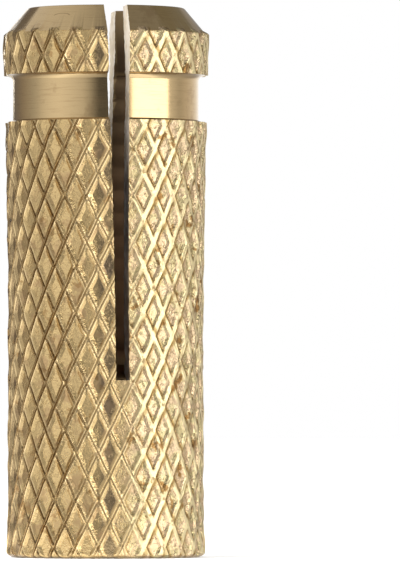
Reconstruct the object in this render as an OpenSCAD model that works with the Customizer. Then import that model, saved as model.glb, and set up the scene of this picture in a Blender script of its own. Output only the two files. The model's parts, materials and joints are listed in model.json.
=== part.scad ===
/* [Body] */
// Outside diameter over the ridges, away from the slots
body_d = 15; // [14:0.25:20]
// Length from the mouth to the tip
body_l = 42; // [36:1:70]
// How far the rolled end stands out round the mouth
rim_out = 0.12; // [0:0.02:0.3]
// Length over which that swelling dies away
rim_l = 2.6; // [1:0.2:6]
// Rounding of the mouth's outer edge, along the body
edge_h = 0.45; // [0.2:0.05:0.8]
// Rounding of the mouth's outer edge, towards the bore
edge_w = 0.85; // [0.3:0.05:1]

/* [Tip] */
// Outside diameter of the flat end at the tip
tip_d = 12; // [9:0.25:13]
// Length of the turned cone behind the tip
cone_l = 2; // [1:0.05:4]

/* [Groove] */
// Length of the knurled band between the cone and the groove
band_l = 3.15; // [1.5:0.05:6]
// Width of the turned groove
groove_w = 3.6; // [1:0.1:6]
// Depth of the groove below the ridges
groove_depth = 0.75; // [0.5:0.05:1]
// Hollow corner at the end of the groove nearer the tip
groove_fillet = 0.5; // [0.2:0.05:0.9]
// Length of the slope at the end of the groove nearer the mouth
groove_slope = 0.15; // [0.1:0.05:0.9]

/* [Bore] */
// Diameter of the threaded bore at the crests of its thread
bore_d = 10.3; // [8:0.1:10.8]
// Diameter of the hole at the tip
tip_bore_d = 6.9; // [4:0.1:7.9]
// Length of the taper between the bore and the tip
taper_l = 4.4; // [2:0.1:10]
// Countersink at the mouth of the bore
lead_in = 0.6; // [0.2:0.05:0.8]

/* [Slots] */
// Slots round the body
slot_count = 4; // [2:2:6]
// Width of each slot at its closed end
slot_w = 1.05; // [0.6:0.05:2]
// Length of each slot from the tip
slot_l = 28.5; // [12:0.5:32]
// How much wider each slot is at the tip
slot_spread = 0.75; // [0:0.05:1.5]
// Angle by which a saw cut falls short of an even spacing from the one before
slot_skew = 4.5; // [0:0.5:6]
// How far each leaf is bent outwards at the tip
leaf_out = 0.5; // [0:0.05:1]
// Length over which the leaves are bent
bend_l = 24; // [10:0.5:32]

/* [Knurl] */
// Ridges that run round in each direction
ridge_count = 27; // [18:1:36]
// Height of a ridge above the diamond beside it
ridge_h = 0.22; // [0.1:0.02:0.34]
// Width of a ridge at its foot
ridge_w = 0.56; // [0.3:0.02:0.7]
// Angle between the ridges and the body's axis
ridge_angle = 26.2; // [20:0.2:40]

/* [Hidden] */
$fn = 96;
brass = [0.80, 0.68, 0.45];
// Reach of a cut past the surface that it opens
over = 1;
// How deep the core is seated in the knurled bands, and the small step round its cone
seat = 1;
ledge = 0.04;
bend_steps = 8;
round_steps = 5;
cone_z = body_l - cone_l;
band_z = cone_z - band_l;
groove_z = band_z - groove_w;
row_h = PI * body_d / ridge_count / tan(ridge_angle) / 2;
pitch_a = 360 / ridge_count;
ridge_gap = PI * body_d / ridge_count * cos(ridge_angle);
floor_part = 1 - ridge_w / ridge_gap;
row_from = -2;
row_to = ceil(body_l / row_h) + 2;

// How far a leaf stands outside the plain cylinder at height z
function bend(z) = pow(max(0, z - (body_l - bend_l)) / bend_l, 1.5);
function swell(z) = rim_out * exp(-pow(max(0, z) / rim_l, 2));
function ridge_r(z) = body_d / 2 + leaf_out * bend(z) + swell(z);
function floor_r(z) = ridge_r(z) - ridge_h;

// Height of a row of crossings, with the rows half a step above the mouth
function row_z(row) = (row + 0.5) * row_h;
// Angle of a crossing: every other row is turned by half a step
function crossing_a(col, row) = -90 + (col + (row % 2 == 0 ? 0 : 0.5)) * pitch_a;
function on_ridge(col, row) = let (z = row_z(row), a = crossing_a(col, row), r = ridge_r(z))
    [r * cos(a), r * sin(a), z];
function on_floor(a, z) = [floor_r(z) * cos(a), floor_r(z) * sin(a), z];
// The four corners of a diamond's floor: lower, right, upper and left
function diamond_floor(col, row) = let (
    z = row_z(row),
    a = crossing_a(col, row) + pitch_a / 2,
    dz = row_h * floor_part,
    da = pitch_a / 2 * floor_part
) [on_floor(a, z - dz), on_floor(a + da, z), on_floor(a, z + dz), on_floor(a - da, z)];

// Crossed ridges round sunk diamonds, as a closed solid round the axis
module knurled_bar() {
    crossings = [for (row = [row_from:row_to], col = [0:ridge_count - 1]) on_ridge(col, row)];
    floors = [for (row = [row_from + 1:row_to - 1], col = [0:ridge_count - 1])
        each diamond_floor(col, row)];
    function crossing(col, row) = (row - row_from) * ridge_count + (col + ridge_count) % ridge_count;
    // First of the four floor corners of the diamond to the right of a crossing
    function floor_at(col, row) = len(crossings)
        + 4 * ((row - row_from - 1) * ridge_count + (col + ridge_count) % ridge_count);
    // The crossing above or below a diamond lies in the next column on every other row
    function above(col, row, step) = crossing(col + (row % 2 == 0 ? 0 : 1), row + step);
    faces = [
        for (row = [row_from + 1:row_to - 1], col = [0:ridge_count - 1]) let (
            low = above(col, row, -1),
            high = above(col, row, 1),
            left = crossing(col, row),
            right = crossing(col + 1, row),
            f = floor_at(col, row)
        ) each [
            [low, f, f + 1], [low, f + 1, right],
            [right, f + 1, f + 2], [right, f + 2, high],
            [high, f + 2, f + 3], [high, f + 3, left],
            [left, f + 3, f], [left, f, low],
            [f, f + 2, f + 1], [f, f + 3, f + 2]
        ],
        for (col = [0:ridge_count - 1]) each [
            [crossing(col, row_from), above(col, row_from, 1), crossing(col + 1, row_from)],
            [crossing(col, row_to), crossing(col + 1, row_to), above(col, row_to, -1)]
        ],
        [for (col = [0:ridge_count - 1]) crossing(col, row_from)],
        [for (col = [ridge_count - 1:-1:0]) crossing(col, row_to)]
    ];
    polyhedron(points = concat(crossings, floors), faces = faces, convexity = 8);
}

module slice(z0, z1) {
    translate([0, 0, z0]) cylinder(r = body_d, h = z1 - z0);
}

// The turned core: it shows as the cone and the groove, and is seated in both knurled bands
module turned_core() {
    groove_r = ridge_r(band_z) - groove_depth;
    fillet = min(groove_fillet, groove_depth - ridge_h - ledge);
    rotate_extrude() polygon([
        [0, groove_z - seat],
        [groove_r, groove_z - seat],
        [floor_r(groove_z) - ledge, groove_z],
        [groove_r, groove_z + groove_slope],
        for (i = [0:round_steps]) let (a = 90 * i / round_steps)
            [groove_r + fillet * (1 - cos(a)), band_z - fillet * (1 - sin(a))],
        [groove_r, band_z + seat],
        [floor_r(cone_z) - ledge - seat / 2, cone_z - seat / 2],
        [floor_r(cone_z) - ledge, cone_z],
        [tip_d / 2, body_l],
        [0, body_l]
    ]);
}

// The two knurled bands, cut square at the groove and at the cone
module knurl_bands() {
    intersection() {
        knurled_bar();
        union() {
            slice(0, groove_z);
            slice(band_z, cone_z);
        }
    }
}

// What the rounding takes off the mouth's outer edge
module mouth_edge_waste() {
    rim_r = ridge_r(0);
    rotate_extrude() polygon([
        [rim_r - edge_w, -over],
        for (i = [0:round_steps]) let (a = 90 * i / round_steps)
            [rim_r - edge_w * (1 - sin(a)), edge_h * (1 - cos(a))],
        [rim_r + over, edge_h],
        [rim_r + over, -over]
    ]);
}

// Bore with its countersink, and the taper that closes in to the tip
module bore_waste() {
    taper_z = body_l - taper_l;
    translate([0, 0, -over]) cylinder(d = bore_d, h = over + taper_z);
    translate([0, 0, -over]) cylinder(r1 = bore_d / 2 + lead_in + over, r2 = bore_d / 2, h = lead_in + over);
    translate([0, 0, taper_z]) cylinder(d1 = bore_d, d2 = tip_bore_d, h = taper_l);
    translate([0, 0, taper_z]) cylinder(d = tip_bore_d, h = taper_l + over);
}

// A saw cut right across, square at its closed end and opened by the bent leaves
module slot_waste() {
    function half_w(z) = (slot_w + slot_spread * bend(z)) / 2;
    heights = [for (i = [0:bend_steps]) body_l - slot_l + (slot_l + over) * i / bend_steps];
    rotate([90, 0, 0]) linear_extrude(height = 3 * body_d, center = true) polygon(concat(
        [for (i = [0:bend_steps]) [half_w(heights[i]), heights[i]]],
        [for (i = [bend_steps:-1:0]) [-half_w(heights[i]), heights[i]]]
    ));
}

module anchor_body() {
    color(brass) difference() {
        union() {
            turned_core();
            knurl_bands();
        }
        mouth_edge_waste();
        bore_waste();
        for (i = [0:slot_count / 2 - 1]) rotate([0, 0, i * (360 / slot_count - slot_skew)]) slot_waste();
    }
}

anchor_body();
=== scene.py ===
import json
import math
import bpy
import bmesh
from mathutils import Matrix, Vector, noise


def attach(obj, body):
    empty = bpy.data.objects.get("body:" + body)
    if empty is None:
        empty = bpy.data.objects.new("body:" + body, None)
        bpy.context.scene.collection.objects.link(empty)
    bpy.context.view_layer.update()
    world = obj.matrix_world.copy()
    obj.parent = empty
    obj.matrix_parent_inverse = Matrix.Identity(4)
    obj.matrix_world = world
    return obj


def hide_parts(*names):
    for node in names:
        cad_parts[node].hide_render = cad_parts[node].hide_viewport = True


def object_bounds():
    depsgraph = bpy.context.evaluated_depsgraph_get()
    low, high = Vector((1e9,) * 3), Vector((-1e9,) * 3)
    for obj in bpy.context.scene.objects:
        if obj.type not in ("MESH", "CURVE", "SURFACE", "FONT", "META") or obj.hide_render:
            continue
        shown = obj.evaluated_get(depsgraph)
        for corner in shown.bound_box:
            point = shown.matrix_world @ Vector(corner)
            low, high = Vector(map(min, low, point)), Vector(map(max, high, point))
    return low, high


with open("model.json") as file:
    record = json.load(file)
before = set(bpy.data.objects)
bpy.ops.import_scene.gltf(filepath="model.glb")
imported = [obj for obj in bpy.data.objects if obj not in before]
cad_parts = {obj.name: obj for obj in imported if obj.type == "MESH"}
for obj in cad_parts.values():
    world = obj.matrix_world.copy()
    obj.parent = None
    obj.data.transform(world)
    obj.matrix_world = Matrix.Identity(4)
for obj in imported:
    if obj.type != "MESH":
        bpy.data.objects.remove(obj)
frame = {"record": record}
cadLow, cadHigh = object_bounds()
mounts = {mount["name"]: mount for mount in frame["record"]["mounts"]}
mm = 0.001                       # the sleeve is shaped in millimetres and scaled to metres at the end
tau = 2 * math.pi
viewTurn = math.radians(-9.0)    # the camera stands a little left of the front slot


# nodes for the materials

def addNode(tree, kind, **settings):
    node = tree.nodes.new(kind)
    for name, value in settings.items():
        setattr(node, name, value)
    return node


def feed(tree, node, sources):
    # each input, by its name or number, gets a link or a plain value
    for socket, source in sources.items():
        if isinstance(source, bpy.types.NodeSocket):
            tree.links.new(source, node.inputs[socket])
        else:
            node.inputs[socket].default_value = source
    return node


def calculate(tree, operation, first, second=0.0):
    node = addNode(tree, "ShaderNodeMath", operation=operation)
    return feed(tree, node, {0: first, 1: second}).outputs[0]


def multiply(tree, first, second):
    return calculate(tree, "MULTIPLY", first, second)


def onVector(tree, operation, first, second=(0, 0, 0)):
    node = addNode(tree, "ShaderNodeVectorMath", operation=operation)
    return feed(tree, node, {0: first, 1: second}).outputs


def remap(tree, value, low, high, toLow=0.0, toHigh=1.0):
    node = addNode(tree, "ShaderNodeMapRange", interpolation_type="SMOOTHSTEP")
    return feed(tree, node, {0: value, 1: low, 2: high, 3: toLow, 4: toHigh}).outputs[0]


def mixColor(tree, share, first, second):
    node = addNode(tree, "ShaderNodeMix", data_type="RGBA")
    return feed(tree, node, {0: share, 6: first, 7: second}).outputs[2]


def mixValue(tree, share, first, second):
    node = addNode(tree, "ShaderNodeMix", data_type="FLOAT")
    return feed(tree, node, {0: share, 2: first, 3: second}).outputs[0]


def layOver(tree, color, mask, share, over):
    return mixColor(tree, multiply(tree, mask, share), color, over)


def clouds(tree, spot, scale, detail=3.0, roughness=0.6):
    node = addNode(tree, "ShaderNodeTexNoise")
    feed(tree, node, {"Vector": spot, "Scale": scale, "Detail": detail, "Roughness": roughness})
    return node.outputs["Fac"]


def objectSpot(tree):
    return addNode(tree, "ShaderNodeTexCoord").outputs["Object"]


def splitSpot(tree, spot):
    return tuple(feed(tree, addNode(tree, "ShaderNodeSeparateXYZ"), {"Vector": spot}).outputs)


def joinSpot(tree, x, y, z=0.0):
    return feed(tree, addNode(tree, "ShaderNodeCombineXYZ"), {"X": x, "Y": y, "Z": z}).outputs[0]


def axisDistance(tree, x, y):
    return onVector(tree, "LENGTH", joinSpot(tree, x, y))["Value"]


def attribute(tree, name):
    return addNode(tree, "ShaderNodeAttribute", attribute_name=name).outputs["Fac"]


def newGroup(name, inputs, outputs):
    group = bpy.data.node_groups.new(name, "ShaderNodeTree")
    for label, value in inputs.items():
        kind = "NodeSocketColor" if isinstance(value, tuple) else "NodeSocketFloat"
        group.interface.new_socket(label, in_out="INPUT", socket_type=kind).default_value = value
    for label, kind in outputs.items():
        group.interface.new_socket(label, in_out="OUTPUT", socket_type="NodeSocket" + kind)
    return group, addNode(group, "NodeGroupInput").outputs, addNode(group, "NodeGroupOutput")


def place(tree, group, values):
    return feed(tree, addNode(tree, "ShaderNodeGroup", node_tree=group), values).outputs


def makeTurningLines():
    # turning lines run round the axis: they follow height and radius, and drift slowly round
    tree, given, result = newGroup("turningLines", {"Fineness": 9000.0, "Drift": 0.06}, {"Lines": "Float"})
    x, y, z = splitSpot(tree, objectSpot(tree))
    along = calculate(tree, "SUBTRACT", z, axisDistance(tree, x, y))
    drifted = joinSpot(tree, multiply(tree, x, given["Drift"]), multiply(tree, y, given["Drift"]), along)
    feed(tree, result, {"Lines": clouds(tree, drifted, given["Fineness"], detail=4.0, roughness=0.7)})
    return tree


def makeBrassWear():
    # brass dulled in patches
    tree, given, result = newGroup(
        "brassWear",
        {"Clean": (0.6, 0.45, 0.22, 1), "Stained": (0.3, 0.18, 0.07, 1), "Stain Scale": 400.0,
         "Stain Amount": 0.3, "Clean Roughness": 0.3, "Stain Roughness": 0.5},
        {"Color": "Color", "Roughness": "Float"})
    noneStained, amountReach, edgeWidth = 0.8, 0.6, 0.12
    patches = clouds(tree, objectSpot(tree), given["Stain Scale"], detail=5.0, roughness=0.65)
    edge = calculate(tree, "SUBTRACT", noneStained, multiply(tree, given["Stain Amount"], amountReach))
    stain = remap(tree, patches, calculate(tree, "SUBTRACT", edge, edgeWidth), edge)
    feed(tree, result, {
        "Color": mixColor(tree, stain, given["Clean"], given["Stained"]),
        "Roughness": mixValue(tree, stain, given["Clean Roughness"], given["Stain Roughness"])})
    return tree


def makeFineGrain():
    # small pits and grains of a surface that no tool has smoothed
    tree, given, result = newGroup("fineGrain", {"Scale": 5000.0, "Pits": 0.3}, {"Height": "Float"})
    pitScale, pitReach, pitWidth, pitDepth = 0.55, 0.6, 0.1, 0.5
    spot = objectSpot(tree)
    grains = clouds(tree, spot, given["Scale"])
    pitEdge = multiply(tree, given["Pits"], pitReach)
    pit = remap(tree, clouds(tree, spot, multiply(tree, given["Scale"], pitScale)),
                pitEdge, calculate(tree, "ADD", pitEdge, pitWidth), 1.0, 0.0)
    feed(tree, result, {"Height": calculate(tree, "SUBTRACT", grains, multiply(tree, pit, pitDepth))})
    return tree


turningLines = makeTurningLines()
brassWear = makeBrassWear()
fineGrain = makeFineGrain()
print("node groups ready")


def startMaterial(name):
    material = bpy.data.materials.new(name)
    material.use_nodes = True
    return material.node_tree, material.node_tree.nodes["Principled BSDF"]


def addBump(tree, shader, height, strength, depth):
    bump = addNode(tree, "ShaderNodeBump")
    feed(tree, bump, {"Height": height, "Strength": strength, "Distance": depth})
    feed(tree, shader, {"Normal": bump.outputs["Normal"]})


# in the four finishes a pair is where a mask starts and where it is full; heights, radii and depths are
# in metres, and a scale is how often a pattern of clouds repeats in a metre

knurledBrass = {
    "floor": (0.54, 0.39, 0.185, 1), "floorStain": (0.47, 0.32, 0.16, 1),
    "litRight": (0.60, 0.45, 0.29, 1), "greenish": (0.49, 0.42, 0.23, 1),    # floors on the right, painted paler as painted light, and mottled at random
    "mottleScale": 1300.0, "mottle": (0.44, 0.60), "mottleShare": 0.8,
    # painted shade: a dark reflection down the middle of the seen side, and a darker left edge
    "paintedShade": (0.17, 0.125, 0.085, 1), "paintedShadeShare": 0.8,
    "crest": (0.74, 0.56, 0.30, 1), "bright": (0.74, 0.62, 0.35, 1),         # crests, left and right: burnished paler, and on the right a painted highlight
    "crestLeft": (0.6, 0.9), "crestRight": (0.58, 0.92), "crestRoughness": (0.24, 0.38),
    "shadeAndDirt": (0.16, 0.09, 0.03, 1), "shade": (0.29, 0.175, 0.05, 1),          # painted shade on the slopes and in the creases, left and right; specks use the first colour too
    "slopeShadeShare": 0.85, "hollows": (0.15, 0.8), "hollowShare": 0.3,
    "speckScale": 1500.0, "specks": (0.52, 0.62), "speckNear": (0.35, 0.8), "speckShare": 0.8,
    "rust": (0.25, 0.125, 0.035, 1), "rustScale": 650.0, "rustSpots": (0.61, 0.67),
    "rustShare": (0.5, 0.9),                                                 # left and right
    "wear": {"Stain Scale": 700.0, "Stain Amount": 0.28, "Clean Roughness": 0.26, "Stain Roughness": 0.36},
    "grain": {"Scale": 5000.0, "Pits": 0.6},
    "grainShare": (0.5, 1.0), "crestGrain": 0.3, "grainDepth": 0.00007,
}


def makeKnurledBrass():
    look = knurledBrass
    tree, shader = startMaterial("knurledBrass")
    spot = objectSpot(tree)
    relief = attribute(tree, "relief")
    right = attribute(tree, "litRight")
    wear = place(tree, brassWear, {"Clean": look["floor"], "Stained": look["floorStain"], **look["wear"]})
    # the floors on the right side are painted paler, as painted light, and mottled at random
    mottle = remap(tree, clouds(tree, spot, look["mottleScale"]), *look["mottle"])
    mottled = mixColor(tree, mottle, look["litRight"], look["greenish"])
    color = layOver(tree, wear["Color"], right, look["mottleShare"], mottled)
    # painted shade: a dark reflection down the middle and a darker left edge
    color = layOver(tree, color, attribute(tree, "paintedShade"), look["paintedShadeShare"], look["paintedShade"])

    # the crests are burnished paler; on the right side their paler colour is a painted highlight
    crestLeft = remap(tree, relief, *look["crestLeft"])
    crestRight = remap(tree, relief, *look["crestRight"])
    crest = mixValue(tree, right, crestLeft, crestRight)
    color = mixColor(tree, crest, color, mixColor(tree, right, look["crest"], look["bright"]))

    # painted shade in the hollows between the ridges
    hollow = remap(tree, attribute(tree, "hollow"), *look["hollows"])
    color = layOver(tree, color, hollow, look["hollowShare"], look["shadeAndDirt"])
    # painted shade on the ridges' slopes and in their creases, set by side
    slopeShade = mixColor(tree, right, look["shadeAndDirt"], look["shade"])
    color = layOver(tree, color, attribute(tree, "shadeAndDirt"), look["slopeShadeShare"], slopeShade)
    specks = remap(tree, clouds(tree, spot, look["speckScale"], detail=4.0), *look["specks"])
    specks = multiply(tree, specks, remap(tree, attribute(tree, "crossing"), *look["speckNear"]))
    color = layOver(tree, color, specks, look["speckShare"], look["shadeAndDirt"])
    rustSpots = remap(tree, clouds(tree, spot, look["rustScale"], detail=4.0), *look["rustSpots"])
    color = layOver(tree, color, rustSpots, mixValue(tree, right, *look["rustShare"]), look["rust"])

    crestRoughness = mixValue(tree, right, *look["crestRoughness"])
    roughness = mixValue(tree, crest, wear["Roughness"], crestRoughness)
    feed(tree, shader, {"Base Color": color, "Roughness": roughness, "Metallic": 1.0})
    grain = place(tree, fineGrain, look["grain"])["Height"]
    grainShare = mixValue(tree, crest, mixValue(tree, right, *look["grainShare"]), look["crestGrain"])
    addBump(tree, shader, multiply(tree, grain, grainShare), 1.0, look["grainDepth"])


turnedBrass = {
    "clean": (0.52, 0.38, 0.20, 1), "stained": (0.44, 0.31, 0.16, 1),
    "wear": {"Stain Scale": 350.0, "Stain Amount": 0.25, "Clean Roughness": 0.14, "Stain Roughness": 0.2},
    "lines": {"Fineness": 7000.0, "Drift": 0.05}, "lineBump": (0.35, 0.00001),
    "streak": (0.38, 0.26, 0.13, 1), "streaks": (0.5, 0.7), "streakShare": 0.5,
    "scratch": (0.17, 0.10, 0.045, 1), "scratchShare": 0.75,
    "scratchAt": (-0.00411, -0.00504, 0.04115), "scratchSize": 0.0007, "scratchWidth": 0.00011,
    "scratchFlat": (1, 1, 3.6),
}


def makeTurnedBrass():
    look = turnedBrass
    tree, shader = startMaterial("turnedBrass")
    wear = place(tree, brassWear, {"Clean": look["clean"], "Stained": look["stained"], **look["wear"]})
    lines = place(tree, turningLines, look["lines"])["Lines"]
    streaks = remap(tree, lines, *look["streaks"], 0.0, look["streakShare"])
    color = mixColor(tree, streaks, wear["Color"], look["streak"])

    # the scratch is the upper part of a flattened ring about a spot on the cone
    offset = onVector(tree, "SUBTRACT", objectSpot(tree), look["scratchAt"])["Vector"]
    flattened = onVector(tree, "MULTIPLY", offset, look["scratchFlat"])["Vector"]
    fromSpot = onVector(tree, "LENGTH", flattened)["Value"]
    offRing = calculate(tree, "ABSOLUTE", calculate(tree, "SUBTRACT", fromSpot, look["scratchSize"]))
    ring = remap(tree, offRing, 0.0, look["scratchWidth"], look["scratchShare"], 0.0)
    above = remap(tree, splitSpot(tree, offset)[2], 0.0, look["scratchWidth"])
    color = layOver(tree, color, ring, above, look["scratch"])
    feed(tree, shader, {"Base Color": color, "Roughness": wear["Roughness"], "Metallic": 1.0})
    addBump(tree, shader, lines, *look["lineBump"])


sawnBrass = {
    # painted light: the walls are pale and only a little metallic, in place of a bright reflection
    "clean": (0.90, 0.82, 0.70, 1), "stained": (0.76, 0.67, 0.52, 1), "metallic": 0.3,
    "wear": {"Stain Scale": 500.0, "Stain Amount": 0.4, "Clean Roughness": 0.3, "Stain Roughness": 0.4},
    "slotShade": (0.13, 0.082, 0.045, 1), "slotShadeHeights": (0.027, 0.039),          # painted shade below, painted light at the tip
    # a band of painted shade part way down the walls
    "shadeBand": (0.045, 0.028, 0.014, 1), "shadeBandFrom": (0.022, 0.024), "shadeBandTo": (0.0285, 0.0305),
    "shadeBandShare": 0.85,
    "grain": {"Scale": 4000.0, "Pits": 0.5}, "grainBump": (0.25, 0.00002),
}


def makeSawnBrass():
    look = sawnBrass
    tree, shader = startMaterial("sawnBrass")
    height = splitSpot(tree, objectSpot(tree))[2]
    wear = place(tree, brassWear, {"Clean": look["clean"], "Stained": look["stained"], **look["wear"]})
    # painted shade lower in the slot, painted light near the tip
    slotShade = remap(tree, height, *look["slotShadeHeights"], 1.0, 0.0)
    color = mixColor(tree, slotShade, wear["Color"], look["slotShade"])
    # painted shade in a band part way down the walls
    overFoot = remap(tree, height, *look["shadeBandFrom"])
    underTop = remap(tree, height, *look["shadeBandTo"], look["shadeBandShare"], 0.0)
    color = layOver(tree, color, overFoot, underTop, look["shadeBand"])
    feed(tree, shader, {"Base Color": color, "Roughness": wear["Roughness"], "Metallic": look["metallic"]})
    addBump(tree, shader, place(tree, fineGrain, look["grain"])["Height"], *look["grainBump"])


boreBrass = {
    # painted shade: the bore is painted dark brown and hardly shiny
    "clean": (0.22, 0.145, 0.075, 1), "stained": (0.18, 0.11, 0.06, 1), "metallic": 0.1, "specular": 0.2,
    "wear": {"Stain Scale": 300.0, "Stain Amount": 0.5, "Clean Roughness": 0.7, "Stain Roughness": 0.8},
    "crest": (0.20, 0.13, 0.07, 1), "crestRadii": (0.0052, 0.0059),          # from the crests to the roots
    # painted light: paler lower down in the bore
    "deep": (0.38, 0.22, 0.12, 1), "deepHeights": (0.018, 0.034), "deepShare": 0.6,
    # painted shade near the top of the bore
    "upper": (0.10, 0.065, 0.035, 1), "upperHeights": (0.027, 0.034), "upperShare": 0.7,
    # a painted highlight along the thread's convex edges
    "edge": (0.40, 0.29, 0.15, 1), "edges": (0.2, 0.8), "edgeShare": 0.6,
    "lines": {"Fineness": 5000.0, "Drift": 0.1}, "lineBump": (0.3, 0.00002),
}


def makeBoreBrass():
    look = boreBrass
    tree, shader = startMaterial("boreBrass")
    x, y, height = splitSpot(tree, objectSpot(tree))
    wear = place(tree, brassWear, {"Clean": look["clean"], "Stained": look["stained"], **look["wear"]})
    # painted light: the roots hold less light than the crests and are painted paler, so the thread shows only
    # faintly
    crest = remap(tree, axisDistance(tree, x, y), *look["crestRadii"], 1.0, 0.0)
    color = mixColor(tree, crest, wear["Color"], look["crest"])
    # painted light: paler lower down in the bore
    deep = remap(tree, height, *look["deepHeights"], look["deepShare"], 0.0)
    color = mixColor(tree, deep, color, look["deep"])
    # painted shade near the top of the bore
    upper = remap(tree, height, *look["upperHeights"], 0.0, look["upperShare"])
    color = mixColor(tree, upper, color, look["upper"])
    # a painted highlight along the convex edges
    edgeGlint = remap(tree, attribute(tree, "edge"), *look["edges"], 0.0, look["edgeShare"])
    color = mixColor(tree, edgeGlint, color, look["edge"])
    feed(tree, shader, {"Base Color": color, "Roughness": wear["Roughness"], "Metallic": look["metallic"],
                        "Specular IOR Level": look["specular"]})
    addBump(tree, shader, place(tree, turningLines, look["lines"])["Lines"], *look["lineBump"])


makeKnurledBrass()
makeTurnedBrass()
makeSawnBrass()
makeBoreBrass()
finishNames = ["knurledBrass", "turnedBrass", "sawnBrass", "boreBrass"]
knurled, turned, sawn, bored = range(4)
print("materials ready")


# the sleeve, in millimetres

sleeve = {
    "length": (cadHigh.z - cadLow.z) / mm,
    "radius": mounts["drilled_hole"]["dims"]["r_mm"],  # over the ridges
    "rimOut": 0.12, "rimLength": 2.6,                  # rolled swelling round the mouth
    "edgeHigh": 0.45, "edgeWide": 0.85,                # rounding of the mouth's outer edge
    "tipRadius": 6.0, "tipEdge": 0.07,
    "coneLength": 2.0, "bandLength": 3.15,
    "grooveWidth": 3.6, "grooveDepth": 0.75, "grooveFillet": 0.49, "grooveSlope": 0.15,
    "leafOut": 0.5, "bendLength": 24.0, "bendPower": 1.5,    # leaves bent outwards
    "ledge": 0.04, "seat": 1.0,                        # how the turned core lies under the knurl
    "tipRound": (0.4, 0.2), "roundStep": 15, "steps": 180,
    "over": 1.0,                                       # how far a cutting tool reaches past the ends
    "spunMerge": 0.0005, "knurlMerge": 0.002, "threadMerge": 0.001, "lastMerge": 0.0008, "sliver": 0.0005,
}
coneZ = sleeve["length"] - sleeve["coneLength"]
bandZ = coneZ - sleeve["bandLength"]
grooveZ = bandZ - sleeve["grooveWidth"]


def ease(low, high, x):
    share = min(1.0, max(0.0, (x - low) / (high - low)))
    return share * share * (3 - 2 * share)


def leafBend(z):
    start = sleeve["length"] - sleeve["bendLength"]
    return (max(0.0, z - start) / sleeve["bendLength"]) ** sleeve["bendPower"]


def outward(z):
    swell = sleeve["rimOut"] * math.exp(-(max(0.0, z) / sleeve["rimLength"]) ** 2)
    return sleeve["leafOut"] * leafBend(z) + swell


def everything(bm):
    return bm.verts[:] + bm.edges[:] + bm.faces[:]


def spinLine(points, angle, steps, rise=0.0):
    # a line of points turned round the upright axis, a full turn joined to its start
    bm = bmesh.new()
    line = [bm.verts.new(point) for point in points]
    edges = [bm.edges.new(pair) for pair in zip(line, line[1:])]
    bmesh.ops.spin(bm, geom=line + edges, cent=(0, 0, 0), axis=(0, 0, 1), dvec=(0, 0, rise),
                   angle=angle, steps=steps, use_merge=(angle == tau), use_duplicate=False)
    return bm


def spun(profile, steps):
    bm = spinLine([(radius, 0, z) for radius, z in profile], tau, steps)
    bmesh.ops.remove_doubles(bm, verts=bm.verts, dist=sleeve["spunMerge"])
    bmesh.ops.recalc_face_normals(bm, faces=bm.faces)
    return bm


def trim(bm, height, keepAbove):
    normal = (0, 0, -1) if keepAbove else (0, 0, 1)
    cut = bmesh.ops.bisect_plane(bm, geom=everything(bm), dist=1e-6,
                                 plane_co=(0, 0, height), plane_no=normal, clear_outer=True)
    rim = [part for part in cut["geom_cut"] if isinstance(part, bmesh.types.BMEdge)]
    bmesh.ops.contextual_create(bm, geom=rim)


def score(bm, heights):
    # level rings of edges, so that the faces can bend there
    for height in heights:
        bmesh.ops.bisect_plane(bm, geom=everything(bm), dist=1e-6,
                               plane_co=(0, 0, height), plane_no=(0, 0, 1))


def newObject(bm, name):
    mesh = bpy.data.meshes.new(name)
    bm.to_mesh(mesh)
    bm.free()
    piece = bpy.data.objects.new(name, mesh)
    bpy.context.scene.collection.objects.link(piece)
    return piece


def solidOf(bm, name, finish):
    for face in bm.faces:
        face.material_index = finish
    piece = newObject(bm, name)
    for finishName in finishNames:
        piece.data.materials.append(bpy.data.materials[finishName])
    return piece


def combine(piece, tool, operation):
    step = piece.modifiers.new("combine", "BOOLEAN")
    step.operation = operation
    step.solver = "MANIFOLD"
    step.object = tool
    bpy.context.view_layer.update()
    shaped = piece.evaluated_get(bpy.context.evaluated_depsgraph_get())
    mesh = bpy.data.meshes.new_from_object(shaped)
    piece.modifiers.clear()
    piece.data = mesh
    bpy.data.objects.remove(tool)
    print("   ", operation.lower(), len(mesh.polygons), "faces")


knurl = {
    "ridges": 27, "height": 0.22, "angle": math.radians(26.2),
    # across a ridge: two lips that the rolling has raised, with a crease between them
    "section": [(-0.37, 0.0), (-0.24, 0.5), (-0.11, 1.0), (-0.04, 0.4),
                (0.04, 0.4), (0.11, 1.0), (0.24, 0.5), (0.37, 0.0)],
    "floorLines": [0.58, 0.78, 0.99],
    "lip": 0.11,                                       # half the distance between the two lips
    "creaseFill": 0.45, "fillMiddle": (-0.6, -0.1), "fillRight": (0.15, 0.45),
    "dish": 0.025,                                     # how far the middle of a floor lies below its edges
    "gap": (0.06, 0.16),                               # where a ridge stops short of one that runs over it
    "crossRate": 0.7, "crossSeed": 3.3, "crossDrift": 1.2, "crossLean": 0.4, "leanTurn": math.radians(135),
    "bandFalling": 0.6, "crossSwitch": (-0.25, 0.25),
    # how high the ridges stand on the whole, how much that wanders and how fast, then two finer wanderings
    "mean": 0.92, "uneven": 0.3, "unevenRate": 0.9, "grain": 0.012, "grainRate": 2.3,
    "sway": 0.05, "swayRate": 0.8, "swaySeed": (9, 0, 0),
    "coneSink": 0.015, "endFade": (0.08, 0.28),        # the ridges run out just above the cone's foot
    "edgeLines": [0.05, 0.12, 0.22, 0.34, 0.45], "endLines": [0.0, 0.08, 0.16], "endReach": 0.3,
}
ridgeTurn = tau / knurl["ridges"]
ridgePitch = sleeve["radius"] * ridgeTurn
rowHeight = ridgePitch / math.tan(knurl["angle"]) / 2
ridgeSpacing = ridgePitch * math.cos(knurl["angle"])
floorRadius = sleeve["radius"] - knurl["height"]
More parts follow.
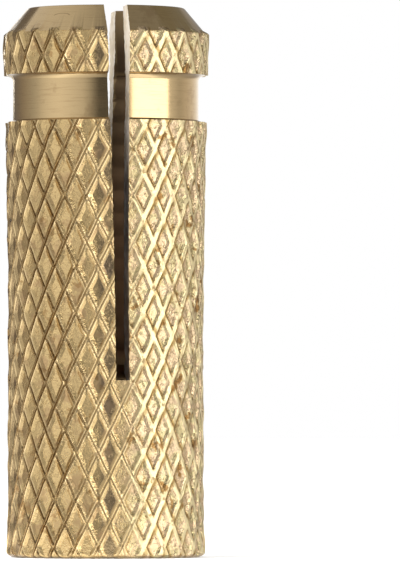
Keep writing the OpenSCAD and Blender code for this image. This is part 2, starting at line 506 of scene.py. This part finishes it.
coneBase = floorRadius + outward(coneZ) - sleeve["ledge"]
coneSlope = (coneBase - sleeve["tipRadius"]) / sleeve["coneLength"]


def rightShare(angle):
    # 1 at the sleeve's right and -1 at its left, as the camera sees it
    return math.cos(angle - viewTurn)


def ridgesNear(angle, z):
    # which ridge of each direction is nearest, and how far off its middle line this spot is;
    # the ridges are counted from the front, and a quarter of a repeat up
    aroundShare = (angle + math.pi / 2) / ridgeTurn
    upShare = z / rowHeight / 2 - 1 / 4
    rising = aroundShare - upShare
    falling = aroundShare + upShare
    toRising = (rising - round(rising)) * ridgeSpacing
    toFalling = (falling - round(falling)) * ridgeSpacing
    return round(rising), round(falling), toRising, toFalling


def risingOnTop(rising, falling, angle, z):
    # at a crossing one of the two ridges runs over the other
    rate = knurl["crossRate"]
    onTop = noise.noise(Vector((rising * rate, falling * rate, knurl["crossSeed"]))) * knurl["crossDrift"]
    onTop += knurl["crossLean"] * math.cos(angle + knurl["leanTurn"])
    if z > (grooveZ + bandZ) / 2:
        onTop -= knurl["bandFalling"]
    return ease(*knurl["crossSwitch"], onTop)


def crossShares(angle, z, reach):
    # how far off both ridges this spot is, and how much of each is left where the other runs over it
    rising, falling, toRising, toFalling = ridgesNear(angle, z)
    risingOver = risingOnTop(rising, falling, angle, z)
    risingLeft = 1 - (1 - risingOver) * (1 - ease(*reach, abs(toFalling)))
    fallingLeft = 1 - risingOver * (1 - ease(*reach, abs(toRising)))
    return toRising, toFalling, risingLeft, fallingLeft


def ridgeLevel(offset, side):
    points = knurl["section"]
    level = 0.0
    for (left, start), (right, end) in zip(points, points[1:]):
        if left <= offset <= right:
            level = start + (end - start) * (offset - left) / (right - left)
    # the crease is shallower in the middle of the side that is seen, and almost closed on its right
    if abs(offset) < knurl["lip"]:
        fill = knurl["creaseFill"] * (ease(*knurl["fillMiddle"], side) + ease(*knurl["fillRight"], side))
        level += (1 - level) * fill
    return level


def knurlRelief(angle, z):
    toRising, toFalling, risingLeft, fallingLeft = crossShares(angle, z, knurl["gap"])
    side = rightShare(angle)
    level = max(ridgeLevel(toRising, side) * risingLeft, ridgeLevel(toFalling, side) * fallingLeft)
    foot = knurl["section"][-1][0]
    half = ridgeSpacing / 2
    dip = knurl["dish"]
    for offset in (toRising, toFalling):
        dip *= 1 - ease(0, 1, (half - max(foot, abs(offset))) / (half - foot))
    return level * knurl["height"] - dip


def knurlCell():
    section = [offset / ridgeSpacing for offset, level in knurl["section"]]
    left = [share for share in section if share < 0]
    right = [share for share in section if share > 0]
    floors = [offset / ridgeSpacing for offset in knurl["floorLines"]]
    lines = [left[-1]] + right + floors + [1 + share for share in left]
    steps = len(lines) - 1
    bm = bmesh.new()
    bmesh.ops.create_grid(bm, x_segments=steps, y_segments=steps, size=0.5)
    for vert in bm.verts:
        falling = lines[round((vert.co.x + 0.5) * steps)]
        rising = lines[round((vert.co.y + 0.5) * steps)]
        turn = (falling + rising) / 2 * ridgeTurn
        height = (falling - rising) * rowHeight
        vert.co = (floorRadius * math.sin(turn), -floorRadius * math.cos(turn), height)
    return bm


def knurlBar(low, high):
    # one cell, repeated round the sleeve and then up it, each row turned by half a cell
    bm = knurlCell()
    bmesh.ops.spin(bm, geom=everything(bm), cent=(0, 0, 0), axis=(0, 0, 1), dvec=(0, 0, 0),
                   angle=tau - ridgeTurn, steps=knurl["ridges"] - 1, use_merge=False, use_duplicate=True)
    ring = everything(bm)
    firstRow = math.floor(low / rowHeight - 0.5) - 1
    lastRow = math.ceil(high / rowHeight - 0.5) + 1
    for row in range(firstRow, lastRow + 1):
        copied = ring
        if row < lastRow:
            copied = bmesh.ops.duplicate(bm, geom=ring)["geom"]
        verts = [part for part in copied if isinstance(part, bmesh.types.BMVert)]
        turn = Matrix.Rotation(ridgeTurn / 2 * (row % 2), 3, "Z")
        bmesh.ops.rotate(bm, verts=verts, cent=(0, 0, 0), matrix=turn)
        bmesh.ops.translate(bm, verts=verts, vec=(0, 0, (row + 0.5) * rowHeight))
    bmesh.ops.remove_doubles(bm, verts=bm.verts, dist=sleeve["knurlMerge"])
    bmesh.ops.recalc_face_normals(bm, faces=bm.faces)
    trim(bm, low, True)
    trim(bm, high, False)
    return bm


def shapeKnurl(bm):
    fadeStart, fadeEnd = knurl["endFade"]
    swaySeed = Vector(knurl["swaySeed"])
    for vert in bm.verts:
        x, y, z = vert.co
        angle = math.atan2(y, x)
        spot = Vector((x, y, z))
        relief = knurlRelief(angle, z)
        relief *= knurl["mean"] + knurl["uneven"] * noise.noise(spot * knurl["unevenRate"])
        relief += knurl["grain"] * noise.noise(spot * knurl["grainRate"])
        base = floorRadius + outward(z)
        if z > coneZ:
            base = coneBase - knurl["coneSink"] - (z - coneZ) * coneSlope
            relief *= 1 - ease(coneZ + fadeStart, coneZ + fadeEnd, z)
        newRadius = base + relief
        if z < sleeve["edgeHigh"]:
            drop = 1 - math.sqrt(max(0.0, 1 - (1 - max(0.0, z) / sleeve["edgeHigh"]) ** 2))
            newRadius = min(newRadius, sleeve["radius"] + sleeve["rimOut"] - sleeve["edgeWide"] * drop)
        angle += knurl["sway"] * noise.noise(spot * knurl["swayRate"] + swaySeed) / newRadius
        vert.co = (newRadius * math.cos(angle), newRadius * math.sin(angle), z)


def turnedCore():
    grooveRadius = floorRadius + knurl["height"] + outward(bandZ) - sleeve["grooveDepth"]
    fillet = sleeve["grooveFillet"]
    top = sleeve["length"]
    seat = sleeve["seat"]
    edge = sleeve["tipEdge"]
    tip = sleeve["tipRadius"]
    inwards, down = sleeve["tipRound"]
    quarter = [math.radians(degrees) for degrees in range(0, 91, sleeve["roundStep"])]
    profile = [(0, grooveZ - seat), (grooveRadius, grooveZ - seat),
               (floorRadius + outward(grooveZ) - sleeve["ledge"], grooveZ),
               (grooveRadius, grooveZ + sleeve["grooveSlope"])]
    profile += [(grooveRadius + fillet * (1 - math.cos(turn)), bandZ - fillet * (1 - math.sin(turn)))
                for turn in quarter]
    profile += [(grooveRadius, bandZ + seat), (coneBase - seat / 2, coneZ - seat / 2), (coneBase, coneZ),
                (tip + edge * coneSlope, top - edge), (tip - edge * inwards, top - edge * down),
                (tip - edge, top), (0, top)]
    return spun(profile, sleeve["steps"])


bore = {
    "radius": mounts["thread"]["dims"]["r_mm"],
    "rootRadius": 6.0, "pitch": 1.75, "rootFlat": 0.22, "flankAngle": math.radians(30),
    "shallow": 0.88, "shallowRun": (12.5, 17.0),       # between the leaves only faint turns are seen
    "tipRadius": 3.45, "taper": 4.4, "leadIn": 0.6,
    "inside": 0.02,                                    # how far the thread's tool reaches into the bore
    "threadOver": 1.2, "fadeBefore": 0.6, "fadeSlope": 0.9,    # the thread runs out at the taper
    "steps": 72,
}
taperZ = sleeve["length"] - bore["taper"]


def boreTool():
    top = sleeve["length"]
    over = sleeve["over"]
    radius = bore["radius"]
    lead = bore["leadIn"]
    profile = [(0, -over), (radius + lead + over, -over), (radius, lead), (radius, taperZ),
               (bore["tipRadius"], top), (bore["tipRadius"], top + over), (0, top + over)]
    return spun(profile, 2 * bore["steps"])


def threadTool():
    low, high = -sleeve["over"], taperZ + bore["threadOver"]
    radius, root, pitch = bore["radius"], bore["rootRadius"], bore["pitch"]
    inner = radius - bore["inside"]
    flank = (root - radius) * math.tan(bore["flankAngle"])
    crest = pitch - 2 * flank - bore["rootFlat"]
    section = [(inner, 0), (inner, crest / 2), (root, crest / 2 + flank),
               (root, crest / 2 + flank + bore["rootFlat"]), (inner, pitch - crest / 2), (inner, pitch)]
    spare = 2    # turns past either end, which are trimmed off
    turns = math.ceil((high - low) / pitch) + 2 * spare
    bm = spinLine([(x, 0, low - spare * pitch + z) for x, z in section], tau * turns, turns * bore["steps"],
                  rise=pitch / bore["steps"])
    bmesh.ops.remove_doubles(bm, verts=bm.verts, dist=sleeve["threadMerge"])
    bmesh.ops.recalc_face_normals(bm, faces=bm.faces)
    trim(bm, low, True)
    trim(bm, high, False)
    fade = taperZ - bore["fadeBefore"]
    for vert in bm.verts:
        reach = math.hypot(vert.co.x, vert.co.y)
        keep = 1.0
        if reach > radius:
            shallow = 1 - bore["shallow"] * ease(*bore["shallowRun"], vert.co.z)
            keep = (radius + (reach - radius) * shallow) / reach
        if vert.co.z > fade:
            keep *= 1 - (vert.co.z - fade) * bore["fadeSlope"] / root
        vert.co.x *= keep
        vert.co.y *= keep
    return bm


slots = {
    "width": 1.05, "length": 28.5, "spread": 0.75,
    "reach": 2.6, "cells": (60, 150),                  # a cut's length across, in radii, and its cells
    "rag": 0.05, "ragAcross": 1.2, "ragUp": 4.0, "ragSeed": 5,
    # the two cuts, by degrees from the front; only the first is uneven in the ways below
    "cuts": [{"turn": 0.0, "seed": 0, "uneven": 1.0}, {"turn": 85.5, "seed": 3, "uneven": 0.0}],
    "twist": (-1.15, 1.9),                             # degrees, from its closed end to the tip
    "backSpread": 0.5, "backRun": (15, 34),            # it is wider on one side at the back,
    "backFall": 0.5, "backEnd": (38, 42),              # but less so at the tip,
    "grooveSpread": 0.05,                              # and wider on both sides in the groove
}


def slotHalf(side, y, z, uneven):
    half = (slots["width"] + slots["spread"] * leafBend(z)) / 2
    if side > 0 and y > 0:
        fall = 1 - slots["backFall"] * ease(*slots["backEnd"], z)
        half += uneven * slots["backSpread"] * ease(*slots["backRun"], z) * fall
    if y < 0 and grooveZ < z < bandZ:
        half += uneven * slots["grooveSpread"]
    return half


def slotTool(cut):
    # a sheet across the sleeve, thickened and then spread by height
    tall = slots["length"] + sleeve["over"]
    bottom = sleeve["length"] - slots["length"]
    across, up = slots["cells"]
    bm = bmesh.new()
    bmesh.ops.create_grid(bm, x_segments=across, y_segments=up, size=0.5)
    bmesh.ops.scale(bm, verts=bm.verts, vec=(slots["reach"] * sleeve["radius"], tall, 1))
    for axis in "XZ":
        quarter = Matrix.Rotation(math.pi / 2, 3, axis)
        bmesh.ops.rotate(bm, verts=bm.verts, cent=(0, 0, 0), matrix=quarter)
    bmesh.ops.translate(bm, verts=bm.verts, vec=(0, 0, bottom + tall / 2))
    grown = bmesh.ops.extrude_face_region(bm, geom=bm.faces[:])["geom"]
    far = {part for part in grown if isinstance(part, bmesh.types.BMVert)}
    low, high = slots["twist"]
    for vert in bm.verts:
        side = 1 if vert in far else -1
        y, z = vert.co.yz
        share = max(0.0, z - bottom) / slots["length"]
        sway = math.tan(math.radians(low + (high - low) * share)) * cut["uneven"] * y
        spot = Vector((side * slots["ragSeed"] + cut["seed"], y * slots["ragAcross"], z * slots["ragUp"]))
        half = slotHalf(side, y, z, cut["uneven"]) + slots["rag"] * noise.noise(spot)
        vert.co.x = side * half + sway
    bmesh.ops.recalc_face_normals(bm, faces=bm.faces)
    turn = Matrix.Rotation(math.radians(cut["turn"]), 3, "Z")
    bmesh.ops.rotate(bm, verts=bm.verts, cent=(0, 0, 0), matrix=turn)
    return bm


def shapeSleeve():
    lower = knurlBar(0.0, grooveZ)
    score(lower, knurl["edgeLines"])
    shapeKnurl(lower)
    piece = solidOf(lower, "knurledSleeve", knurled)
    upper = knurlBar(bandZ, coneZ + knurl["endReach"])
    score(upper, [coneZ + height for height in knurl["endLines"]])
    shapeKnurl(upper)
    combine(piece, solidOf(turnedCore(), "core", turned), "UNION")
    combine(piece, solidOf(upper, "upperBand", knurled), "UNION")
    combine(piece, solidOf(boreTool(), "boreTool", bored), "DIFFERENCE")
    combine(piece, solidOf(threadTool(), "threadTool", bored), "DIFFERENCE")
    for cut in slots["cuts"]:
        combine(piece, solidOf(slotTool(cut), "slotTool", sawn), "DIFFERENCE")
    return piece


# where the knurl's colours, painted shade and painted light lie, written on its points as masks for the
# material; sides as in rightShare

marks = {
    "creaseShade": 0.06,                                # half the width of the painted shade in the crease
    "shadeMiddle": (-0.6, -0.1), "middleLighter": 0.75,   # the painted shade is lighter in the middle than on the left
    "shadeRight": (0.15, 0.5),                          # where the painted shade moves to the ridges' right slopes
    "leftSlope": (0.2, 0.4),
    "rightSlope": (0.11, 0.17, 0.42, 0.60),            # it starts, is full, fades and ends
    "shadeBreak": (0.12, 0.3),
    "risingShade": 0.65, "fallingShade": 0.25,           # painted shade on the left slopes of both kinds of ridge
    "strip": (-0.13, -0.06, 0.04, 0.10),               # a painted dark reflection in a strip down the middle, on the floors
    "stripShift": -0.02, "stripLean": 0.0016, "stripLevel": 20, "stripFloors": (0.2, 0.5),
    "stripShare": 0.75, "stripDrift": 0.5, "driftRate": 0.25, "driftSeed": (7.7, 1.0),
    # painted shade towards the left edge
    "leftEdge": (-0.96, -0.80), "leftEdgeShare": 0.6,
    "litRight": (0.05, 0.4), "crossing": 0.5,
    "hollowFrom": 0.3, "floorBelow": 0.12, "sharp": math.radians(50), "evenWeight": 95,
}


def clamp(value):
    return min(1.0, max(0.0, value))


# painted shade across a ridge: in its crease and on its left slope, or on its right slope on the right side
def slopeShadeLevel(offset, side, spread):
    left = 1 - marks["middleLighter"] * ease(*marks["shadeMiddle"], side)
    right = ease(*marks["shadeRight"], side)
    if abs(offset) < marks["creaseShade"]:
        return left * (1 - right)
    if offset < 0:
        return left * (1 - right) * spread * (1 - ease(*marks["leftSlope"], -offset))
    start, full, fade, end = marks["rightSlope"]
    return right * ease(start, full, offset) * (1 - ease(fade, end, offset))


def knurlShade(angle, z):
    toRising, toFalling, risingLeft, fallingLeft = crossShares(angle, z, marks["shadeBreak"])
    side = rightShare(angle)
    return max(slopeShadeLevel(toRising, side, marks["risingShade"]) * risingLeft,
               slopeShadeLevel(toFalling, side, marks["fallingShade"]) * fallingLeft)


def paintedShadeLevel(angle, z, height):
    # painted shade: a dark reflection in a strip down the middle of the side that is seen, on the floors
    # only, and painted shade at its left edge
    side = rightShare(angle) + marks["stripShift"] + marks["stripLean"] * (z - marks["stripLevel"])
    drift = noise.noise(Vector((z * marks["driftRate"], *marks["driftSeed"])))
    start, full, fade, end = marks["strip"]
    strip = ease(start, full, side) * (1 - ease(fade, end, side))
    strip *= 1 - ease(*marks["stripFloors"], height)
    leftEdge = marks["leftEdgeShare"] * (1 - ease(*marks["leftEdge"], rightShare(angle)))
    return max(strip * (marks["stripShare"] + marks["stripDrift"] * drift), leftEdge)


def markSleeve(bm):
    relief, hollow, edge, crossing, shadeAndDirt, litRight, paintedShade = [
        bm.verts.layers.float.new(name)
        for name in ("relief", "hollow", "edge", "crossing", "shadeAndDirt", "litRight", "paintedShade")]
    for vert in bm.verts:
        x, y, z = vert.co
        angle = math.atan2(y, x)
        toRising, toFalling = ridgesNear(angle, z)[2:]
        vert[crossing] = max(0.0, 1 - math.hypot(toRising, toFalling) / marks["crossing"])
        vert[shadeAndDirt] = knurlShade(angle, z)
        # the right side, which the material paints lighter, as painted light
        vert[litRight] = ease(*marks["litRight"], rightShare(angle))
        vert[relief] = clamp((math.hypot(x, y) - floorRadius - outward(z)) / knurl["height"])
        vert[paintedShade] = paintedShadeLevel(angle, z, vert[relief])
        bends = [line.calc_face_angle_signed(0.0) for line in vert.link_edges]
        # how hollow a point is, for painted shade in the creases
        if vert[relief] > marks["hollowFrom"]:
            vert[hollow] = clamp(-min(bends))
        vert[edge] = clamp(max(bends))
    return relief


def finishSleeve(piece):
    bm = bmesh.new()
    bm.from_mesh(piece.data)
    bmesh.ops.remove_doubles(bm, verts=bm.verts, dist=sleeve["lastMerge"])
    bmesh.ops.dissolve_degenerate(bm, dist=sleeve["sliver"], edges=bm.edges)
    relief = markSleeve(bm)
    openEdges = [line for line in bm.edges if not line.is_manifold]
    print("open edges", len(openEdges), "triangles", sum(len(face.verts) - 2 for face in bm.faces))
    for face in bm.faces:
        face.smooth = True
    floorFaces = {face for face in bm.faces if all(vert[relief] < marks["floorBelow"] for vert in face.verts)}
    for line in bm.edges:
        onFloor = len({face in floorFaces for face in line.link_faces}) == 2
        if line.is_manifold and (onFloor or line.calc_face_angle() > marks["sharp"]):
            line.smooth = False
    bmesh.ops.scale(bm, verts=bm.verts, vec=(mm, mm, mm))
    bm.to_mesh(piece.data)
    bm.free()
    piece.data.validate(verbose=True)
    weighted = piece.modifiers.new("evenShading", "WEIGHTED_NORMAL")
    weighted.keep_sharp = True
    weighted.weight = marks["evenWeight"]


body = shapeSleeve()
finishSleeve(body)
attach(body, "root")
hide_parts("anchor_body")
print("sleeve ready")


# the studio, in metres; bearings are degrees round the sleeve, 0 towards the camera, positive to its right

studio = {
    "floorReach": 6, "floorTone": (0.7, 0.7, 0.7, 1), "floorRoughness": 0.9, "floorGlow": 0.35,
    "white": (1, 1, 1, 1), "worldLow": 0.9,
    "lampsAim": (0, 0, 0.02),
    "lamps": {
        "rightLamp": {"bearing": 58, "distance": 0.5, "height": 0.08, "size": (0.48, 0.26), "power": 0.95},
        "leftLamp": {"bearing": -38, "distance": 0.5, "height": 0.25, "size": (0.3, 0.3), "power": 0.4},
        "topLamp": {"bearing": -60, "distance": 0.2, "height": 0.5, "size": (0.2, 0.2), "power": 4.4},
    },
    "mirrored": ["rightLamp"],      # the other lamps don't show in the brass
}


def bearing(degrees, distance, height):
    turn = viewTurn + math.radians(degrees)
    return Vector((math.sin(turn) * distance, -math.cos(turn) * distance, height))


def seenRays(tree):
    # 1 where the background is seen, by itself or in metal or glass, and 0 where it lights
    rays = addNode(tree, "ShaderNodeLightPath").outputs
    seen = calculate(tree, "MAXIMUM", rays["Is Camera Ray"], rays["Is Glossy Ray"])
    return calculate(tree, "MAXIMUM", seen, rays["Is Transmission Ray"])


def makeFloor():
    bm = bmesh.new()
    bmesh.ops.create_grid(bm, x_segments=2, y_segments=2, size=studio["floorReach"])
    floor = newObject(bm, "floor")
    tree, shader = startMaterial("paleFloor")
    feed(tree, shader, {"Base Color": studio["floorTone"], "Roughness": studio["floorRoughness"],
                        "Emission Color": studio["white"],
                        "Emission Strength": multiply(tree, seenRays(tree), studio["floorGlow"])})
    floor.data.materials.append(bpy.data.materials["paleFloor"])


def makeWorld():
    world = bpy.data.worlds.new("studio")
    bpy.context.scene.world = world
    world.use_nodes = True
    tree = world.node_tree
    strength = remap(tree, seenRays(tree), 0.0, 1.0, studio["worldLow"], 1.0)
    feed(tree, tree.nodes["Background"], {"Color": studio["white"], "Strength": strength})


def aim(piece, target):
    piece.rotation_mode = "QUATERNION"
    piece.rotation_quaternion = (target - piece.location).to_track_quat("-Z", "Y")


def makeLamps():
    for name, lamp in studio["lamps"].items():
        light = bpy.data.lights.new(name, "AREA")
        light.shape = "RECTANGLE"
        light.size, light.size_y = lamp["size"]
        light.energy = lamp["power"]
        piece = bpy.data.objects.new(name, light)
        bpy.context.scene.collection.objects.link(piece)
        piece.location = bearing(lamp["bearing"], lamp["distance"], lamp["height"])
        aim(piece, Vector(studio["lampsAim"]))
        piece.visible_glossy = name in studio["mirrored"]


# cards that show only in the brass; a stop is a bearing, a level and how warm it is
cards = {
    "wall": [(0.012, 0.0008), (0.9, 0.0008), (0.9, 0.62)],    # distance and height: its floor, then its wall
    "wallSteps": 96, "wallStrength": 2.6,
    "highFrom": (0.10, 0.17), "nearTo": (0.10, 0.25),
    "low": [(-180, 0.80, 0), (-167, 0.80, 0), (-163, 0.12, 0.15), (-140, 0.20, 0.12), (-125, 0.29, 0.1),
            (-113, 0.39, 0.05), (-102, 0.49, 0), (-93, 0.60, 0), (-84, 0.78, 0), (-70, 0.93, 0),
            (-58, 0.97, 0), (-48, 0.90, 0), (-35, 0.78, 0), (-28, 0.70, 0), (-22, 0.54, 0), (-16, 0.32, 0),
            (-9, 0.09, 0), (4, 0.08, 0), (11, 0.36, 0.05), (29, 0.60, 0.05), (33, 0.9, 0), (70, 0.85, 0),
            (88, 0.75, 0), (104, 0.50, 0.03), (118, 0.62, 0.05), (150, 0.90, 0.03), (166, 1.0, 0),
            (180, 0.80, 0)],
    "high": [(-180, 0.80, 0), (-167, 0.80, 0), (-163, 0.12, 0.15), (-125, 0.22, 0.1), (-102, 0.40, 0),
             (-70, 0.85, 0), (-45, 0.82, 0), (-15, 0.45, 0), (6, 0.35, 0), (32, 1.50, 0), (60, 1.5, 0),
             (88, 1.0, 0), (108, 0.45, 0.05), (170, 0.25, 0.05), (180, 0.3, 0)],
    "near": [(-180, 0.50, 0), (-150, 0.20, 0.1), (-112, 0.40, 0.1), (-88, 0.88, 0), (-62, 1.45, 0),
             (-25, 0.78, 0), (6, 0.24, 0), (32, 1.45, 0), (60, 1.60, 0), (76, 0.90, 0), (90, 0.60, 0),
             (125, 0.40, 0.05), (160, 0.40, 0.05), (180, 0.50, 0)],
    "screenFrom": 20, "screenTurn": 160, "screenDistance": 0.7, "screenHeights": (0.34, 1.0),
    "screenSteps": 24, "screenColor": (0.28, 0.27, 0.23, 1),
    "ceilingReach": 2.0, "ceilingHeight": 1.0, "ceilingRun": (-0.6, 0.25), "ceilingLevels": (0.9, 0.36),
}


def addCard(bm, name):
    piece = newObject(bm, name)
    material = bpy.data.materials.new(name)
    material.use_nodes = True
    tree = material.node_tree
    tree.nodes.remove(tree.nodes["Principled BSDF"])
    glow = addNode(tree, "ShaderNodeEmission")
    tree.links.new(glow.outputs[0], tree.nodes["Material Output"].inputs["Surface"])
    piece.data.materials.append(material)
    piece.visible_camera = False
    piece.visible_diffuse = False
    piece.visible_shadow = False
    return tree, glow


def levels(tree, stops):
    # light round the sleeve, by bearing; the ramp holds half of each level, and the strength makes up for it
    turned = feed(tree, addNode(tree, "ShaderNodeVectorRotate", rotation_type="Z_AXIS"),
                  {"Vector": objectSpot(tree), "Angle": math.pi / 2 - viewTurn})
    around = feed(tree, addNode(tree, "ShaderNodeTexGradient", gradient_type="RADIAL"),
                  {"Vector": turned.outputs[0]})
    ramp = feed(tree, addNode(tree, "ShaderNodeValToRGB"), {"Fac": around.outputs["Fac"]})
    elements = ramp.color_ramp.elements
    elements.remove(elements[0])
    for number, (degrees, level, warmth) in enumerate(stops):
        share = degrees / 360 + 0.5
        stop = elements[0] if number == 0 else elements.new(share)
        stop.position = share
        stop.color = (level * (1 + warmth) / 2, level / 2, level * (1 - warmth) / 2, 1)
    return ramp.outputs["Color"]


def makeSurround():
    points = [bearing(180, distance, height) for distance, height in cards["wall"]]
    tree, glow = addCard(spinLine(points, tau, cards["wallSteps"]), "surround")
    x, y, height = splitSpot(tree, objectSpot(tree))
    high = remap(tree, height, *cards["highFrom"])
    near = remap(tree, axisDistance(tree, x, y), *cards["nearTo"], 1.0, 0.0)
    color = mixColor(tree, high, levels(tree, cards["low"]), levels(tree, cards["high"]))
    color = mixColor(tree, near, color, levels(tree, cards["near"]))
    feed(tree, glow, {"Color": color, "Strength": cards["wallStrength"]})


def makeScreen():
    points = [bearing(cards["screenFrom"], cards["screenDistance"], height)
              for height in cards["screenHeights"]]
    screen = spinLine(points, math.radians(cards["screenTurn"]), cards["screenSteps"])
    tree, glow = addCard(screen, "rightScreen")
    feed(tree, glow, {"Color": cards["screenColor"]})


def makeCeiling():
    bm = bmesh.new()
    bmesh.ops.create_grid(bm, x_segments=2, y_segments=2, size=cards["ceilingReach"])
    bmesh.ops.translate(bm, verts=bm.verts, vec=(0, 0, cards["ceilingHeight"]))
    tree, glow = addCard(bm, "ceiling")
    x = splitSpot(tree, objectSpot(tree))[0]
    feed(tree, glow, {"Strength": remap(tree, x, *cards["ceilingRun"], *cards["ceilingLevels"])})


makeFloor()
makeWorld()
makeSurround()
makeScreen()
makeCeiling()
makeLamps()
print("studio ready")


# the camera: the photograph's size in pixels, where the sleeve's axis and foot lie in it, then the camera's
# distance, height and sensor in millimetres, and the nearest and farthest that it sees in metres
view = {
    "frame": (400, 563), "pxPerMm": 13.07, "axisX": 105.8, "baseY": 557.3,
    "distance": 600.0, "height": 10.0, "sensor": 36.0, "nearest": 0.01, "farthest": 30,
}


def makeCamera():
    wide, tall = view["frame"]
    lens = bpy.data.cameras.new("camera")
    lens.sensor_width = view["sensor"]
    lens.lens = view["sensor"] * view["distance"] / (tall / view["pxPerMm"])
    lens.clip_start = view["nearest"]
    lens.clip_end = view["farthest"]
    camera = bpy.data.objects.new("camera", lens)
    bpy.context.scene.collection.objects.link(camera)
    bpy.context.scene.camera = camera
    right = Vector((math.cos(viewTurn), math.sin(viewTurn), 0))
    aside = (wide / 2 - view["axisX"]) / view["pxPerMm"]
    middle = (view["baseY"] - tall / 2) / view["pxPerMm"]
    camera.location = bearing(0, view["distance"] * mm, view["height"] * mm)
    aim(camera, (right * aside + Vector((0, 0, middle))) * mm)


makeCamera()
bpy.context.scene.view_settings.view_transform = "Standard"
print("camera ready")
